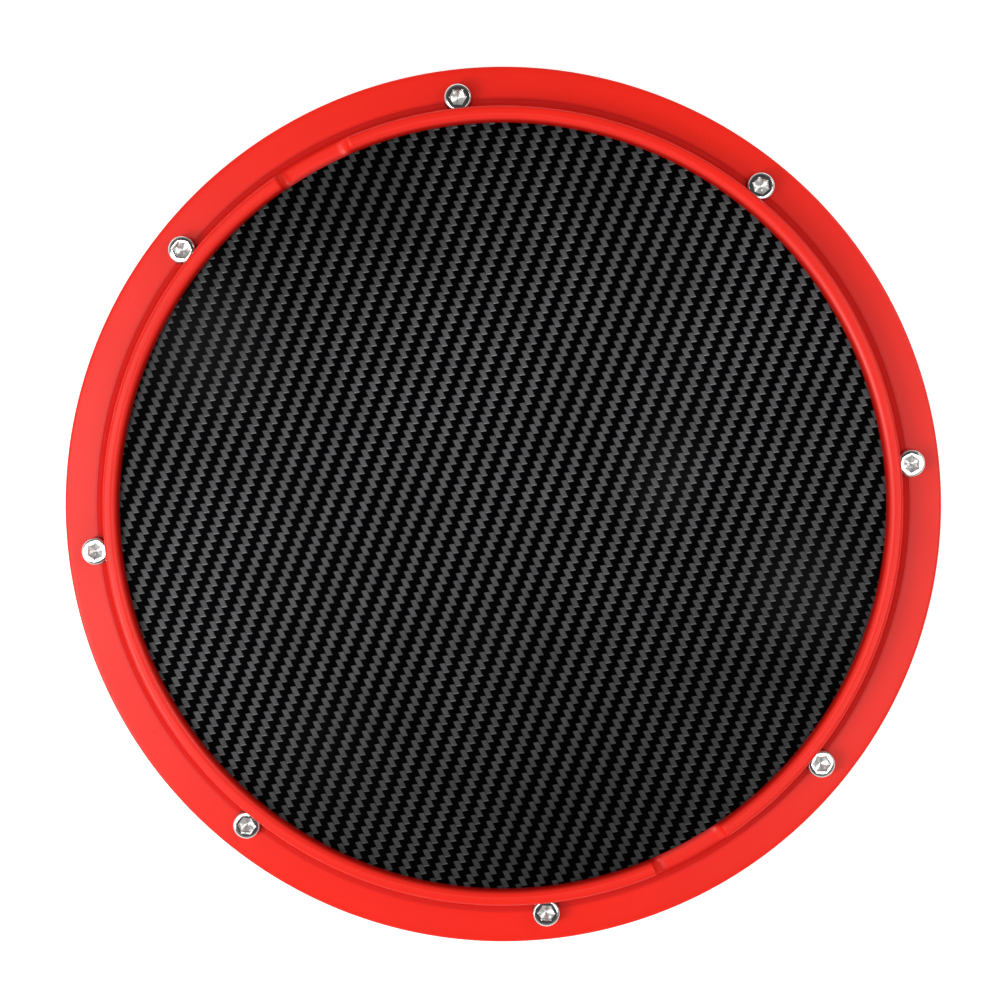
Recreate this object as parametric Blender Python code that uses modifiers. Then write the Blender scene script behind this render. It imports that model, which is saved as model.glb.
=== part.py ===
# Round practice pad: a laminated playing surface inside a moulded hoop. The hoop is held on a
# round board by eight socket head cap screws. Origin at the centre of the underside, +Z up,
# the two gates in the hoop's lip on the Y axis.
import math

import bmesh
import bpy
from mathutils import Matrix, Vector

# clearances
SEAT_GAP = 0.0003            # between pieces that rest on or stand beside each other
BORE_GAP = 0.0003            # round a screw or an insert in its hole

# hoop
OPENING_RADIUS = 0.1413      # inner wall of the lip
LIP_WIDTH = 0.0060
LIP_HEIGHT = 0.0100          # above the flange
LIP_INNER_ROUND = 0.0033
LIP_OUTER_ROUND = 0.0014
FLANGE_WIDTH = 0.0152        # from the lip's outer wall to the rim's edge
FLANGE_THICKNESS = 0.0045
FLANGE_EDGE_ROUND = 0.0010
FOOT_WIDTH = 0.0034          # sloped foot between the lip's outer wall and the flange
FOOT_HEIGHT = 0.0046
FOOT_HOLLOW = 0.0003         # how far the slope sags below a straight line
GATE_COUNT = 2
GATE_FLOOR_LENGTH = 0.0202   # flat part of a lowered stretch of the lip
GATE_FILLET = 0.0045         # at the foot of a gate's end
GATE_ROUND = 0.0008          # at its top
GATE_SLOPE_DEG = 62          # between the two
GATE_FLOOR_ABOVE_SKIN = 0.0010

# playing layers, from the top down
SKIN_THICKNESS = 0.0009
SKIN_LAP = 0.0013            # how far the skin's edge runs in under the lip
RUBBER_THICKNESS = 0.0050
FOAM_THICKNESS = 0.0030
LAYER_INSET = 0.0004         # rubber and foam are cut this much smaller than the skin

# board and mat
BOARD_THICKNESS = 0.0180
BOARD_INSET = 0.0015         # inside the hoop's edge
BOARD_EDGE_ROUND = 0.0015
MAT_THICKNESS = 0.0030
MAT_INSET = 0.0060           # inside the board's edge
MAT_EDGE_ROUND = 0.0006

# screws and inserts
SCREW_COUNT = 8
SCREW_SETOUT = 0.0041        # from the lip's outer wall to the screw's axis
SCREW_HEAD_RADIUS = 0.0050
SCREW_HEAD_HEIGHT = 0.0060
SCREW_HEAD_CHAMFER = 0.0006
SCREW_SHANK_RADIUS = 0.0030
SCREW_LENGTH = 0.0160        # under the head
SCREW_TIP_CHAMFER = 0.0008
SOCKET_ACROSS_FLATS = 0.0050
SOCKET_DEPTH = 0.0030
SOCKET_POINT_DEPTH = 0.0010
SOCKET_SIDES = 6
SOCKET_CORNERS_DEG = (12, 31, 25, 55, 25, 28, 32, 59)  # where each socket has come to rest, from +X
SPOT_FACE_DEPTH = 0.0003     # below the flange's top
INSERT_RADIUS = 0.0050
INSERT_ROOT_RADIUS = 0.0043
INSERT_LENGTH = 0.0130
INSERT_THREADS = 3
INSERT_CREST = 0.2           # share of the pitch
HOLE_BOTTOM_ROOM = 0.0010    # below an insert

# facets of the round pieces
RING_STEPS = 120
SCREW_STEPS = 24
INSERT_STEPS = 16
CUTTER_STEPS = 24
GATE_FILLET_STEPS = 6
GATE_ROUND_STEPS = 4
CUT_OVERRUN = 0.0010         # how far a cutter runs past what it cuts
MERGE_DISTANCE = 0.00005
CAP_WELD_DISTANCE = 0.000005
SHARP_ANGLE = math.radians(32)

# radii that follow from the sizes above
LIP_OUTER_RADIUS = OPENING_RADIUS + LIP_WIDTH
HOOP_RADIUS = LIP_OUTER_RADIUS + FLANGE_WIDTH
SKIN_RADIUS = OPENING_RADIUS + SKIN_LAP
REBATE_RADIUS = SKIN_RADIUS + SEAT_GAP
LAYER_RADIUS = SKIN_RADIUS - LAYER_INSET
BOARD_RADIUS = HOOP_RADIUS - BOARD_INSET
MAT_RADIUS = BOARD_RADIUS - MAT_INSET
SCREW_CIRCLE_RADIUS = LIP_OUTER_RADIUS + SCREW_SETOUT

# heights that follow from the sizes above
BOARD_BOTTOM = MAT_THICKNESS + SEAT_GAP
BOARD_TOP = BOARD_BOTTOM + BOARD_THICKNESS
HOOP_BOTTOM = BOARD_TOP + SEAT_GAP
FLANGE_TOP = HOOP_BOTTOM + FLANGE_THICKNESS
LIP_TOP = FLANGE_TOP + LIP_HEIGHT
FOAM_BOTTOM = BOARD_TOP + SEAT_GAP
RUBBER_BOTTOM = FOAM_BOTTOM + FOAM_THICKNESS + SEAT_GAP
SKIN_BOTTOM = RUBBER_BOTTOM + RUBBER_THICKNESS + SEAT_GAP
SKIN_TOP = SKIN_BOTTOM + SKIN_THICKNESS
LIP_UNDERSIDE = SKIN_TOP + SEAT_GAP
GATE_FLOOR = SKIN_TOP + GATE_FLOOR_ABOVE_SKIN
SPOT_FACE = FLANGE_TOP - SPOT_FACE_DEPTH
HEAD_UNDERSIDE = SPOT_FACE + SEAT_GAP
HEAD_TOP = HEAD_UNDERSIDE + SCREW_HEAD_HEIGHT
INSERT_BOTTOM = BOARD_TOP - INSERT_LENGTH


def clear_scene():
    for item in list(bpy.data.objects):
        bpy.data.objects.remove(item, do_unlink=True)


def new_collection(name):
    collection = bpy.data.collections.new(name)
    bpy.context.scene.collection.children.link(collection)
    return collection


def new_material(name, color, roughness, metallic=0.0):
    material = bpy.data.materials.new(name)
    material.use_nodes = True
    shader = material.node_tree.nodes["Principled BSDF"]
    shader.inputs["Base Color"].default_value = (*color, 1.0)
    shader.inputs["Roughness"].default_value = roughness
    shader.inputs["Metallic"].default_value = metallic
    material.diffuse_color = (*color, 1.0)
    return material


def add_object(name, data, collection, material=None):
    item = bpy.data.objects.new(name, data)
    collection.objects.link(item)
    if material:
        data.materials.append(material)
    return item


def add_cutter(name, data, collection):
    cutter = add_object(name, data, collection)
    cutter.hide_render = True
    cutter.display_type = "WIRE"
    return cutter


def arc(center_r, center_z, radius, start_deg, end_deg, segments):
    """Points of an arc in the (radius, height) plane."""
    points = []
    for step in range(segments + 1):
        angle = math.radians(start_deg + (end_deg - start_deg) * step / segments)
        points.append((center_r + radius * math.cos(angle), center_z + radius * math.sin(angle)))
    return points


def profile_mesh(name, profile, closed):
    """A wire profile in the XZ plane, for a Screw modifier."""
    mesh = bpy.data.meshes.new(name)
    shape = bmesh.new()
    verts = [shape.verts.new((radius, 0.0, height)) for radius, height in profile]
    for first, second in zip(verts, verts[1:]):
        shape.edges.new((first, second))
    if closed:
        shape.edges.new((verts[-1], verts[0]))
    shape.to_mesh(mesh)
    shape.free()
    return mesh


def turn_profile(item, steps):
    screw = item.modifiers.new("turned", "SCREW")
    screw.axis = "Z"
    screw.angle = math.tau
    screw.screw_offset = 0.0
    screw.steps = steps
    screw.render_steps = steps
    screw.use_merge_vertices = True
    screw.merge_threshold = MERGE_DISTANCE
    screw.use_smooth_shade = True


def cylinder_mesh(name, radius, bottom, top, segments):
    mesh = bpy.data.meshes.new(name)
    shape = bmesh.new()
    middle = Matrix.Translation((0.0, 0.0, (bottom + top) / 2))
    bmesh.ops.create_cone(
        shape,
        cap_ends=True,
        segments=segments,
        radius1=radius,
        radius2=radius,
        depth=top - bottom,
        matrix=middle,
    )
    shape.to_mesh(mesh)
    shape.free()
    mesh.shade_smooth()
    mesh.set_sharp_from_angle(angle=SHARP_ANGLE)
    return mesh


def round_edges(item, width, segments):
    bevel = item.modifiers.new("edges", "BEVEL")
    bevel.width = width
    bevel.segments = segments
    bevel.limit_method = "ANGLE"
    bevel.angle_limit = SHARP_ANGLE


def cut(item, cutter):
    boolean = item.modifiers.new("cut " + cutter.name, "BOOLEAN")
    boolean.operation = "DIFFERENCE"
    boolean.solver = "EXACT"
    boolean.object = cutter


def joined_cutter(name, mesh, places, collection):
    """One cutter that holds a copy of a mesh at each of several separate places."""
    shape = bmesh.new()
    for place in places:
        copy = mesh.copy()
        copy.transform(place)
        shape.from_mesh(copy)
        bpy.data.meshes.remove(copy)
    joined = bpy.data.meshes.new(name)
    shape.to_mesh(joined)
    shape.free()
    return add_cutter(name, joined, collection)


def screw_places():
    """Screw axes, spaced evenly and half a space off the X axis."""
    places = []
    for index in range(SCREW_COUNT):
        angle = math.tau * (index + 0.5) / SCREW_COUNT
        arm = Vector((SCREW_CIRCLE_RADIUS, 0.0, 0.0))
        places.append(Matrix.Rotation(angle, 4, "Z") @ Matrix.Translation(arm))
    return places


def hoop_profile():
    """Section of the hoop: over the lip, down its outer wall, out along the flange and back."""
    lip_inner = arc(
        OPENING_RADIUS + LIP_INNER_ROUND, LIP_TOP - LIP_INNER_ROUND, LIP_INNER_ROUND, 180, 90, 3
    )
    lip_outer = arc(
        LIP_OUTER_RADIUS - LIP_OUTER_ROUND, LIP_TOP - LIP_OUTER_ROUND, LIP_OUTER_ROUND, 90, 0, 3
    )
    foot_top = (LIP_OUTER_RADIUS, FLANGE_TOP + FOOT_HEIGHT)
    foot_end = (LIP_OUTER_RADIUS + FOOT_WIDTH, FLANGE_TOP)
    foot_middle = (
        (foot_top[0] + foot_end[0]) / 2 - FOOT_HOLLOW,
        (foot_top[1] + foot_end[1]) / 2 - FOOT_HOLLOW,
    )
    edge_center = HOOP_RADIUS - FLANGE_EDGE_ROUND
    edge_top = arc(
        edge_center, FLANGE_TOP - FLANGE_EDGE_ROUND, FLANGE_EDGE_ROUND, 90, 0, 2
    )
    edge_bottom = arc(
        edge_center, HOOP_BOTTOM + FLANGE_EDGE_ROUND, FLANGE_EDGE_ROUND, 0, -90, 2
    )
    rebate = [
        (REBATE_RADIUS, HOOP_BOTTOM),
        (REBATE_RADIUS, LIP_UNDERSIDE),
        (OPENING_RADIUS, LIP_UNDERSIDE),
    ]
    foot = [foot_top, foot_middle, foot_end]
    return lip_inner + lip_outer + foot + edge_top + edge_bottom + rebate


def gate_outline():
    """Side view of the space above one gate: a flat floor whose ends rise through a fillet, a slope and a round."""
    slope = math.radians(GATE_SLOPE_DEG)
    half_floor = GATE_FLOOR_LENGTH / 2
    fillet_z = GATE_FLOOR + GATE_FILLET
    fillet = arc(half_floor, fillet_z, GATE_FILLET, -90, GATE_SLOPE_DEG - 90, GATE_FILLET_STEPS)
    low_x, low_z = fillet[-1]
    high_z = LIP_TOP - GATE_ROUND * (1 - math.cos(slope))
    high_x = low_x + (high_z - low_z) / math.tan(slope)
    round_x = high_x + GATE_ROUND * math.sin(slope)
    rounding = arc(round_x, LIP_TOP - GATE_ROUND, GATE_ROUND, 90 + GATE_SLOPE_DEG, 90, GATE_ROUND_STEPS)
    rounding[-1] = (round_x, LIP_TOP + CUT_OVERRUN)
    right = fillet + rounding
    left = [(-x, height) for x, height in reversed(right)]
    return left + right


def gate_cutter(collection):
    """Prisms of the gate outline, laid across the lip."""
    curve = bpy.data.curves.new("gate outline", "CURVE")
    curve.dimensions = "2D"
    curve.fill_mode = "BOTH"
    curve.extrude = (LIP_WIDTH + 2 * CUT_OVERRUN) / 2
    outline = gate_outline()
    spline = curve.splines.new("POLY")
    spline.points.add(len(outline) - 1)
    for point, (x, height) in zip(spline.points, outline):
        point.co = (x, height, 0.0, 1.0)
    spline.use_cyclic_u = True
    drawn = bpy.data.objects.new("gate outline", curve)
    collection.objects.link(drawn)
    bpy.context.view_layer.update()
    evaluated = drawn.evaluated_get(bpy.context.evaluated_depsgraph_get())
    prism = bpy.data.meshes.new_from_object(evaluated)
    bpy.data.objects.remove(drawn, do_unlink=True)
    shape = bmesh.new()
    shape.from_mesh(prism)
    bmesh.ops.remove_doubles(shape, verts=shape.verts, dist=CAP_WELD_DISTANCE)
    bmesh.ops.recalc_face_normals(shape, faces=shape.faces)
    shape.to_mesh(prism)
    shape.free()
    upright = Matrix.Rotation(math.radians(90), 4, "X")
    on_lip = Matrix.Translation((0.0, OPENING_RADIUS + LIP_WIDTH / 2, 0.0))
    places = []
    for index in range(GATE_COUNT):
        turn = Matrix.Rotation(math.tau * index / GATE_COUNT, 4, "Z")
        places.append(turn @ on_lip @ upright)
    return joined_cutter("gate_cutter", prism, places, collection)


def build_hoop(parts, cutters, material):
    hoop = add_object("hoop", profile_mesh("hoop", hoop_profile(), True), parts, material)
    turn_profile(hoop, RING_STEPS)
    cut(hoop, gate_cutter(cutters))
    pocket = cylinder_mesh(
        "pocket", SCREW_HEAD_RADIUS + BORE_GAP, SPOT_FACE, HEAD_TOP + SEAT_GAP, CUTTER_STEPS
    )
    hole = cylinder_mesh(
        "hole",
        SCREW_SHANK_RADIUS + BORE_GAP,
        HOOP_BOTTOM - CUT_OVERRUN,
        SPOT_FACE + CUT_OVERRUN,
        CUTTER_STEPS,
    )
    cut(hoop, joined_cutter("spot_face_cutter", pocket, screw_places(), cutters))
    cut(hoop, joined_cutter("screw_hole_cutter", hole, screw_places(), cutters))


def build_layers(parts, skin_material, rubber_material, foam_material):
    skin = cylinder_mesh("playing_skin", SKIN_RADIUS, SKIN_BOTTOM, SKIN_TOP, RING_STEPS)
    rubber = cylinder_mesh(
        "rubber_layer",
        LAYER_RADIUS,
        RUBBER_BOTTOM,
        RUBBER_BOTTOM + RUBBER_THICKNESS,
        RING_STEPS,
    )
    foam = cylinder_mesh(
        "foam_layer", LAYER_RADIUS, FOAM_BOTTOM, FOAM_BOTTOM + FOAM_THICKNESS, RING_STEPS
    )
    add_object("playing_skin", skin, parts, skin_material)
    add_object("rubber_layer", rubber, parts, rubber_material)
    add_object("foam_layer", foam, parts, foam_material)


def build_board(parts, cutters, material):
    mesh = cylinder_mesh("core_board", BOARD_RADIUS, BOARD_BOTTOM, BOARD_TOP, RING_STEPS)
    board = add_object("core_board", mesh, parts, material)
    round_edges(board, BOARD_EDGE_ROUND, 2)
    hole = cylinder_mesh(
        "insert_hole",
        INSERT_RADIUS + BORE_GAP,
        INSERT_BOTTOM - HOLE_BOTTOM_ROOM,
        BOARD_TOP + CUT_OVERRUN,
        CUTTER_STEPS,
    )
    cut(board, joined_cutter("insert_hole_cutter", hole, screw_places(), cutters))


def build_mat(parts, material):
    mesh = cylinder_mesh("base_mat", MAT_RADIUS, 0.0, MAT_THICKNESS, RING_STEPS)
    mat = add_object("base_mat", mesh, parts, material)
    round_edges(mat, MAT_EDGE_ROUND, 1)


def screw_profile():
    """Half section of a cap screw, with the underside of its head at height zero."""
    return [
        (0.0, SCREW_HEAD_HEIGHT),
        (SCREW_HEAD_RADIUS - SCREW_HEAD_CHAMFER, SCREW_HEAD_HEIGHT),
        (SCREW_HEAD_RADIUS, SCREW_HEAD_HEIGHT - SCREW_HEAD_CHAMFER),
        (SCREW_HEAD_RADIUS, 0.0),
        (SCREW_SHANK_RADIUS, 0.0),
        (SCREW_SHANK_RADIUS, SCREW_TIP_CHAMFER - SCREW_LENGTH),
        (SCREW_SHANK_RADIUS - SCREW_TIP_CHAMFER, -SCREW_LENGTH),
        (0.0, -SCREW_LENGTH),
    ]


def socket_profile():
    """Half section of the key socket through its corners, with a point at the bottom."""
    corner_radius = SOCKET_ACROSS_FLATS / 2 / math.cos(math.pi / SOCKET_SIDES)
    floor = SCREW_HEAD_HEIGHT - SOCKET_DEPTH
    return [
        (0.0, SCREW_HEAD_HEIGHT + CUT_OVERRUN),
        (corner_radius, SCREW_HEAD_HEIGHT + CUT_OVERRUN),
        (corner_radius, floor),
        (0.0, floor - SOCKET_POINT_DEPTH),
    ]


def build_screws(parts, cutters, material):
    """Screws share one mesh; each has its origin on its own axis, under its head, and its own socket turn."""
    mesh = profile_mesh("cap_screw", screw_profile(), False)
    mesh.materials.append(material)
    socket_mesh = profile_mesh("socket", socket_profile(), False)
    for number, place in enumerate(screw_places(), start=1):
        screw = add_object(f"screw_{number}", mesh, parts)
        screw.matrix_world = Matrix.Translation((0.0, 0.0, HEAD_UNDERSIDE)) @ place
        turn_profile(screw, SCREW_STEPS)
        socket = add_cutter(f"socket_cutter_{number}", socket_mesh, cutters)
        corner = SOCKET_CORNERS_DEG[(number - 1) % len(SOCKET_CORNERS_DEG)]
        on_axis = Matrix.Translation(screw.matrix_world.translation)
        socket.matrix_world = on_axis @ Matrix.Rotation(math.radians(corner), 4, "Z")
        turn_profile(socket, SOCKET_SIDES)
        cut(screw, socket)


def insert_profile():
    """Section of a threaded insert, its outer thread drawn as rings, from its top down."""
    pitch = INSERT_LENGTH / INSERT_THREADS
    outer = []
    for index in range(INSERT_THREADS):
        top = INSERT_LENGTH - index * pitch
        outer.append((INSERT_ROOT_RADIUS, top))
        outer.append((INSERT_RADIUS, top - pitch * (1 - INSERT_CREST) / 2))
        outer.append((INSERT_RADIUS, top - pitch * (1 + INSERT_CREST) / 2))
    outer.append((INSERT_ROOT_RADIUS, 0.0))
    bore = SCREW_SHANK_RADIUS + BORE_GAP
    return [(bore, INSERT_LENGTH)] + outer + [(bore, 0.0)]


def build_inserts(parts, material):
    mesh = profile_mesh("threaded_insert", insert_profile(), True)
    mesh.materials.append(material)
    for number, place in enumerate(screw_places(), start=1):
        insert = add_object(f"insert_{number}", mesh, parts)
        insert.matrix_world = Matrix.Translation((0.0, 0.0, INSERT_BOTTOM)) @ place
        turn_profile(insert, INSERT_STEPS)


def main():
    clear_scene()
    parts = new_collection("practice_pad")
    cutters = new_collection("cutters")
    red = new_material("red_moulding", (0.84, 0.030, 0.020), 0.38)
    laminate = new_material("woven_laminate", (0.030, 0.030, 0.032), 0.28)
    rubber = new_material("gum_rubber", (0.10, 0.075, 0.055), 0.75)
    foam = new_material("eva_foam", (0.045, 0.045, 0.048), 0.9)
    plywood = new_material("birch_plywood", (0.62, 0.44, 0.26), 0.5)
    mat = new_material("mat_rubber", (0.02, 0.02, 0.021), 0.85)
    steel = new_material("polished_steel", (0.78, 0.78, 0.77), 0.16, 1.0)
    zinc = new_material("zinc_plate", (0.66, 0.64, 0.58), 0.35, 1.0)
    build_hoop(parts, cutters, red)
    build_layers(parts, laminate, rubber, foam)
    build_board(parts, cutters, plywood)
    build_mat(parts, mat)
    build_screws(parts, cutters, steel)
    build_inserts(parts, zinc)


main()
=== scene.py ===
import math

import bmesh
import bpy
import numpy as np
from mathutils import Matrix, Vector, noise


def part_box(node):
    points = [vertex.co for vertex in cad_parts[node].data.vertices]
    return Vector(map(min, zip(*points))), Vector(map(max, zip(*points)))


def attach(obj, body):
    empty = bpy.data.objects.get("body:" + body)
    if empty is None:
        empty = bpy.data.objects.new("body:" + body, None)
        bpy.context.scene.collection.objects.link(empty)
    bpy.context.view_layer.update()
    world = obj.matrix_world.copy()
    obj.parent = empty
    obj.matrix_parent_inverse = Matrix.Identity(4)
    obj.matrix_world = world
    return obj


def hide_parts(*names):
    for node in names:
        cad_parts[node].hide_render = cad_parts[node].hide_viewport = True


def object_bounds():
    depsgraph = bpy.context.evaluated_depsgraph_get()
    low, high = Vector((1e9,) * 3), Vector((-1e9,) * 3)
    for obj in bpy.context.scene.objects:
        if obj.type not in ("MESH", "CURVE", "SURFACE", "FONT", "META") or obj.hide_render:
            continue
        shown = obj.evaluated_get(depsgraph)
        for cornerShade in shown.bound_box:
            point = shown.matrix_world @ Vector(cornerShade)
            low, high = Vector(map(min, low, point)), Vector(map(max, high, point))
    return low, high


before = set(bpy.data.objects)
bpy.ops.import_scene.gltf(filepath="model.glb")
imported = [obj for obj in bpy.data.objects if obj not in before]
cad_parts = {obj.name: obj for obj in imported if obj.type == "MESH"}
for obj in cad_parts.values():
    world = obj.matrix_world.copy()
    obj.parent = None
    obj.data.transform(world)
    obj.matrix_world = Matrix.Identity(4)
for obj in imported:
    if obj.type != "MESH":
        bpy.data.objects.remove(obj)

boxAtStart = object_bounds()
padBody = "pad"
print("frame loaded:", len(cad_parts), "nodes")

# places read from the frame
hoopLow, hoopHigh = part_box("hoop")
skinLow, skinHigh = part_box("playing_skin")
rubberLow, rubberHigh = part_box("rubber_layer")
foamLow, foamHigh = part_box("foam_layer")
boardLow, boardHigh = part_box("core_board")
matLow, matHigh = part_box("base_mat")
screwNames = sorted(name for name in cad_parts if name.startswith("screw_"))
insertNames = sorted(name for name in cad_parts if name.startswith("insert_"))


# mesh helpers
def arcPoints(centerR, centerZ, radius, startDeg, endDeg, segments):
    angles = np.radians(np.linspace(startDeg, endDeg, segments + 1))
    return [(centerR + radius * math.cos(a), centerZ + radius * math.sin(a)) for a in angles]


def linePoints(start, end, segments):  # without its two ends
    steps = np.linspace(0.0, 1.0, segments + 1)[1:-1]
    return [(start[0] + (end[0] - start[0]) * t, start[1] + (end[1] - start[1]) * t) for t in steps]


def finishMesh(mesh, sharpDeg):
    shape = bmesh.new()
    shape.from_mesh(mesh)
    bmesh.ops.remove_doubles(shape, verts=shape.verts, dist=1e-7)
    bmesh.ops.recalc_face_normals(shape, faces=shape.faces)
    shape.to_mesh(mesh)
    shape.free()
    mesh.shade_smooth()
    mesh.set_sharp_from_angle(angle=math.radians(sharpDeg))
    return mesh


def gridMesh(name, points, wrapRows=False, wrapColumns=False, caps=False, sharpDeg=35):
    rows, columns = points.shape[:2]
    faces = []
    for row in range(rows if wrapRows else rows - 1):
        nextRow = (row + 1) % rows
        for column in range(columns if wrapColumns else columns - 1):
            nextColumn = (column + 1) % columns
            here, below = row * columns, nextRow * columns
            faces.append((here + column, here + nextColumn, below + nextColumn, below + column))
    if caps:
        faces.append(tuple(range(columns)))
        faces.append(tuple(range((rows - 1) * columns, rows * columns)))
    mesh = bpy.data.meshes.new(name)
    mesh.from_pydata(points.reshape(-1, 3).tolist(), [], faces)
    return finishMesh(mesh, sharpDeg)


def turnedMesh(name, section, steps):  # section is an open line of (radius, height), capped at both ends
    angles = np.linspace(0.0, math.tau, steps, endpoint=False)
    section = np.array(section)
    points = np.empty((len(section), steps, 3))
    points[:, :, 0] = section[:, None, 0] * np.cos(angles)
    points[:, :, 1] = section[:, None, 0] * np.sin(angles)
    points[:, :, 2] = section[:, None, 1]
    return gridMesh(name, points, wrapColumns=True, caps=True)


def addPiece(name, mesh, material, body, nodes):
    piece = bpy.data.objects.new(name, mesh)
    bpy.context.scene.collection.objects.link(piece)
    mesh.materials.clear()
    mesh.materials.append(material)
    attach(piece, body)
    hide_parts(*nodes)
    return piece


# material helpers
def addNode(tree, kind, inputs=None, **settings):
    node = tree.nodes.new(kind)
    for name, value in settings.items():
        setattr(node, name, value)
    for key, value in (inputs or {}).items():
        if isinstance(value, bpy.types.NodeSocket):
            tree.links.new(value, node.inputs[key])
        else:
            node.inputs[key].default_value = value
    return node


def calc(tree, operation, *values):
    return addNode(tree, "ShaderNodeMath", dict(enumerate(values)), operation=operation).outputs[0]


def plus(tree, first, second):
    return calc(tree, "ADD", first, second)


def minus(tree, first, second):
    return calc(tree, "SUBTRACT", first, second)


def times(tree, first, second):
    return calc(tree, "MULTIPLY", first, second)


def scatter(tree, value, base, spread):  # base plus a share of a value that changes over the surface
    return plus(tree, base, times(tree, value, spread))


def smoothStep(tree, value, low, high):
    inputs = {"Value": value, "From Min": low, "From Max": high}
    return addNode(tree, "ShaderNodeMapRange", inputs, interpolation_type="SMOOTHSTEP").outputs[0]


def mixColor(tree, factor, first, second, blend="MIX"):
    node = addNode(tree, "ShaderNodeMix", data_type="RGBA", blend_type=blend)
    for index, value in ((0, factor), (6, first), (7, second)):
        if isinstance(value, bpy.types.NodeSocket):
            tree.links.new(value, node.inputs[index])
        else:
            node.inputs[index].default_value = value
    return node.outputs[2]


def shade(color):
    return (*color, 1.0)


def newGroup(name, inputs, outputs):  # inputs is {name: value}, outputs are the names of masks and values
    group = bpy.data.node_groups.new(name, "ShaderNodeTree")
    for label, value in inputs.items():
        kind = "NodeSocketVector" if value is None else "NodeSocketFloat"
        socket = group.interface.new_socket(name=label, in_out="INPUT", socket_type=kind)
        if value is not None:
            socket.default_value = value
    for label in outputs:
        group.interface.new_socket(name=label, in_out="OUTPUT", socket_type="NodeSocketFloat")
    start = group.nodes.new("NodeGroupInput")
    end = group.nodes.new("NodeGroupOutput")
    return group, start.outputs, end.inputs


def placeGroup(tree, group, inputs):
    return addNode(tree, "ShaderNodeGroup", inputs, node_tree=group).outputs


def newMaterial(name, **values):  # values are plain settings on the Principled shader
    material = bpy.data.materials.new(name)
    material.use_nodes = True
    tree = material.node_tree
    shader = tree.nodes["Principled BSDF"]
    for key, value in values.items():
        socket = shader.inputs[key.replace("_", " ")]
        socket.default_value = shade(value) if isinstance(value, tuple) else value
    place = addNode(tree, "ShaderNodeTexCoord").outputs["Object"]
    return material, tree, shader, place


def addBump(tree, shader, height, strength, distance):
    inputs = {"Height": height, "Strength": strength, "Distance": distance}
    bump = addNode(tree, "ShaderNodeBump", inputs)
    tree.links.new(bump.outputs["Normal"], shader.inputs["Normal"])


# shared effects
handlingLook = {
    "rubWidth": 0.012,  # to each side of the noise's middle value
    "bend": 1.5,
    "gapScale": 3.1,  # of the breaks in a rub, to the spacing
    "gapEdge": (0.52, 0.66),
    "speckScale": 2.6,
    "speckEdge": (0.01, 0.035),
    "speckPick": 0.8,  # share of the cells that stay clean
}


def makeFineGrain():  # pebbled skin of mouldings, sheet rubber and lacquer
    inputs = {"Place": None, "Size": 0.0005, "Drift": 0.03}
    tree, given, result = newGroup("fineGrain", inputs, ("Grain", "Patch"))
    scale = calc(tree, "DIVIDE", 1.0, given["Size"])
    fineInputs = {"Vector": given["Place"], "Scale": scale, "Detail": 3.0, "Roughness": 0.6}
    fine = addNode(tree, "ShaderNodeTexNoise", fineInputs)
    broad = calc(tree, "DIVIDE", 1.0, given["Drift"])
    patch = addNode(tree, "ShaderNodeTexNoise", {"Vector": given["Place"], "Scale": broad, "Detail": 2.0})
    tree.links.new(fine.outputs[0], result["Grain"])
    tree.links.new(patch.outputs[0], result["Patch"])
    return tree


def makeHandling():  # hairline rubs and specks of dust from use
    look = handlingLook
    inputs = {"Place": None, "Spacing": 0.02, "Amount": 0.5}
    tree, given, result = newGroup("handling", inputs, ("Rubs", "Specks"))
    scale = calc(tree, "DIVIDE", 1.0, given["Spacing"])
    bentInputs = {"Vector": given["Place"], "Scale": scale, "Detail": 2.0, "Distortion": look["bend"]}
    bent = addNode(tree, "ShaderNodeTexNoise", bentInputs)
    ridge = calc(tree, "ABSOLUTE", minus(tree, bent.outputs[0], 0.5))
    line = minus(tree, 1.0, smoothStep(tree, ridge, 0.0, look["rubWidth"]))
    gapScale = times(tree, scale, look["gapScale"])
    gapNoise = addNode(tree, "ShaderNodeTexNoise", {"Vector": given["Place"], "Scale": gapScale})
    gaps = smoothStep(tree, gapNoise.outputs[0], *look["gapEdge"])
    rubs = times(tree, times(tree, line, gaps), given["Amount"])
    cellScale = times(tree, scale, look["speckScale"])
    cells = addNode(tree, "ShaderNodeTexVoronoi", {"Vector": given["Place"], "Scale": cellScale})
    dot = minus(tree, 1.0, smoothStep(tree, cells.outputs["Distance"], *look["speckEdge"]))
    pick = addNode(tree, "ShaderNodeSeparateColor", {"Color": cells.outputs["Color"]}).outputs[0]
    chosen = calc(tree, "GREATER_THAN", pick, look["speckPick"])
    specks = times(tree, times(tree, dot, chosen), given["Amount"])
    tree.links.new(rubs, result["Rubs"])
    tree.links.new(specks, result["Specks"])
    return tree


fineGrain = makeFineGrain()
handling = makeHandling()
print("shared effects made")


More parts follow.
